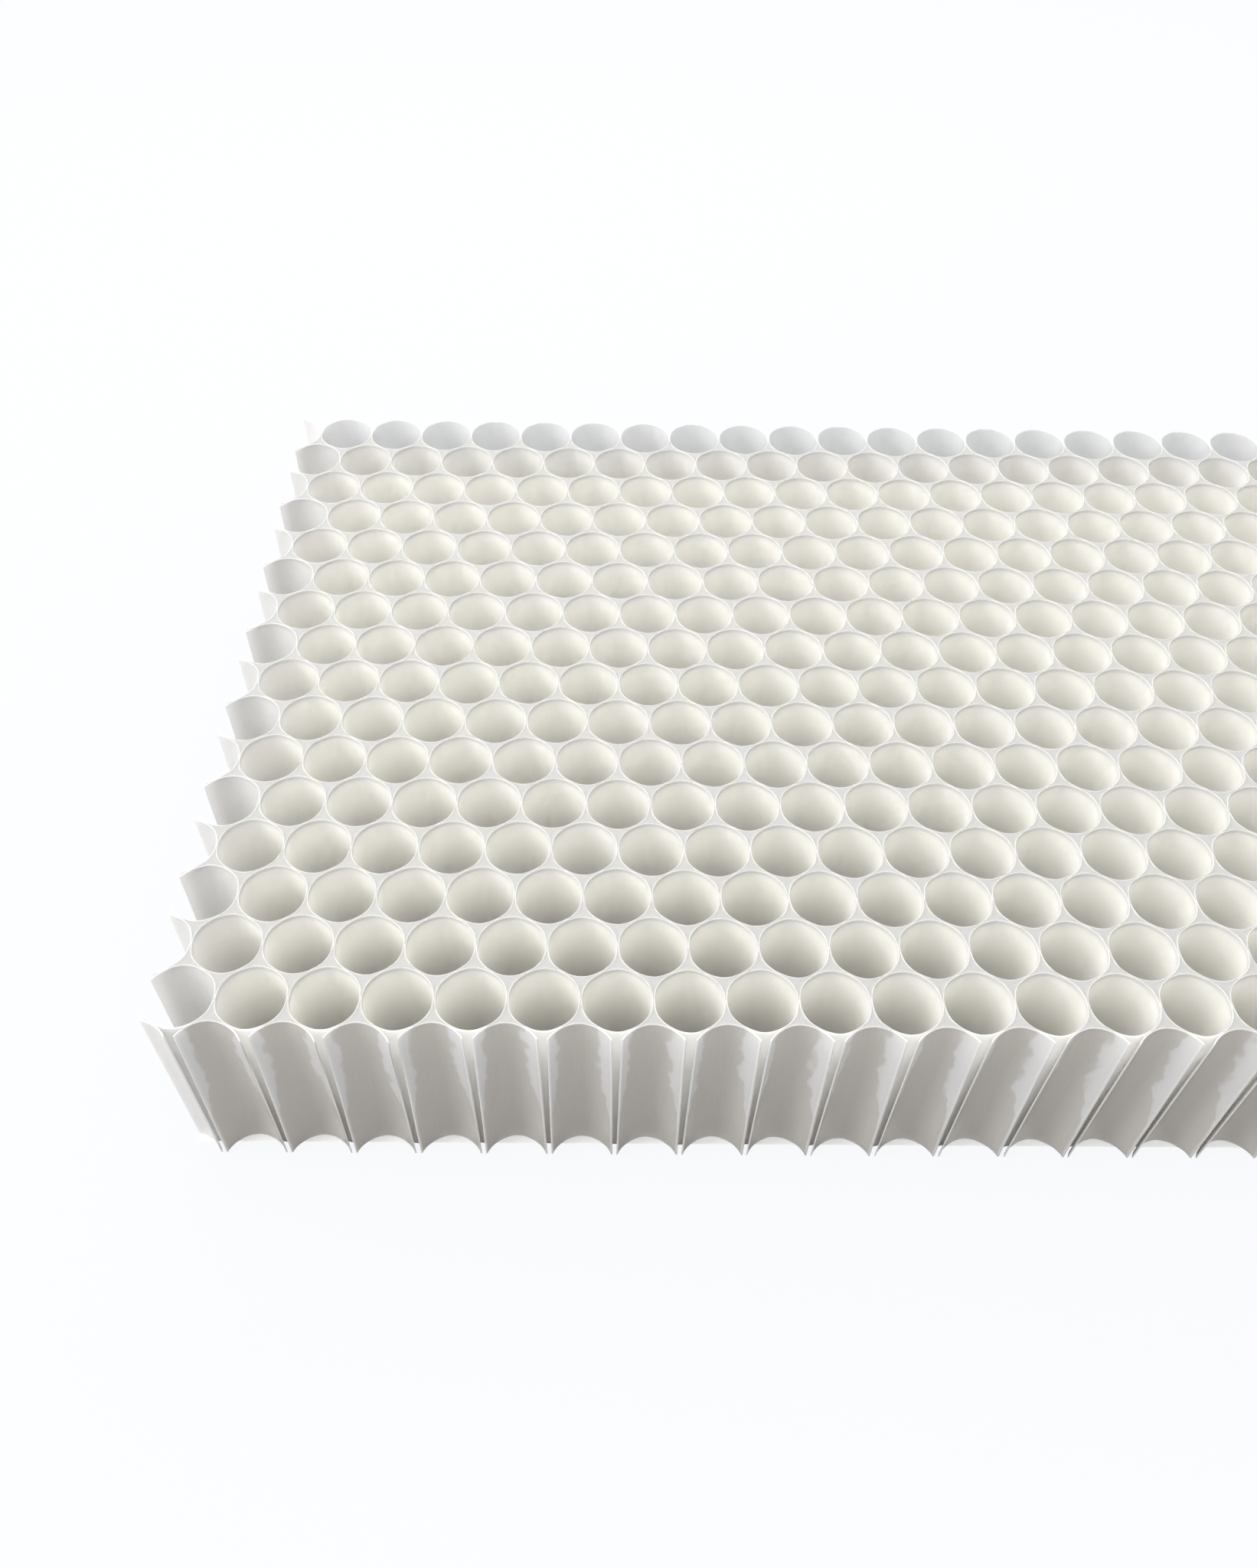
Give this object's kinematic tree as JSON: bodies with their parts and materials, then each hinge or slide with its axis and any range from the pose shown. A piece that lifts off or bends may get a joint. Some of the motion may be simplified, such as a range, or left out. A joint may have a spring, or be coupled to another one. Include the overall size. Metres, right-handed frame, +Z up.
{
  "type": "tubular honeycomb core panel",
  "caption": "Flat white plastic panel of thin round tubes standing side by side in a hexagonal pattern, melted together at both faces, with cut sides, for sandwich cores or flow.",
  "frame": {"origin": "centre of the bottom face, on the surface that the panel lies on", "axes": "+X along the rows, towards the right in the picture; +Y towards the uncut back edge; +Z up along the tubes"},
  "size_m": [0.1668, 0.1133, 0.028],
  "materials": {
    "tube_plastic": "satin, slightly translucent",
    "cut_tube_plastic": "satin, slightly translucent",
    "film_plastic": "matte, melted"
  },
  "bodies": {
    "root": {"tube_row_1": "tube_plastic", "tube_row_2": "tube_plastic", "tube_row_3": "tube_plastic", "tube_row_4": "tube_plastic", "tube_row_5": "tube_plastic", "tube_row_6": "tube_plastic", "tube_row_7": "tube_plastic", "tube_row_8": "tube_plastic", "tube_row_9": "tube_plastic", "tube_row_10": "tube_plastic", "tube_row_11": "tube_plastic", "tube_row_12": "tube_plastic", "tube_row_13": "tube_plastic", "tube_row_14": "tube_plastic", "tube_row_15": "tube_plastic", "tube_row_16": "tube_plastic", "front_flutes": "cut_tube_plastic", "left_corner_flute": "cut_tube_plastic", "right_corner_flute": "cut_tube_plastic", "left_open_tubes": "cut_tube_plastic", "right_open_tubes": "cut_tube_plastic", "left_half_tubes": "cut_tube_plastic", "right_half_tubes": "cut_tube_plastic", "top_film_1": "film_plastic", "top_film_2": "film_plastic", "top_film_3": "film_plastic", "top_film_4": "film_plastic", "top_film_5": "film_plastic", "top_film_6": "film_plastic", "top_film_7": "film_plastic", "top_film_8": "film_plastic", "top_film_9": "film_plastic", "top_film_10": "film_plastic", "top_film_11": "film_plastic", "top_film_12": "film_plastic", "top_film_13": "film_plastic", "top_film_14": "film_plastic", "top_film_15": "film_plastic", "top_film_16": "film_plastic", "bottom_film_1": "film_plastic", "bottom_film_2": "film_plastic", "bottom_film_3": "film_plastic", "bottom_film_4": "film_plastic", "bottom_film_5": "film_plastic", "bottom_film_6": "film_plastic", "bottom_film_7": "film_plastic", "bottom_film_8": "film_plastic", "bottom_film_9": "film_plastic", "bottom_film_10": "film_plastic", "bottom_film_11": "film_plastic", "bottom_film_12": "film_plastic", "bottom_film_13": "film_plastic", "bottom_film_14": "film_plastic", "bottom_film_15": "film_plastic", "bottom_film_16": "film_plastic"}
  },
  "joints": []
}
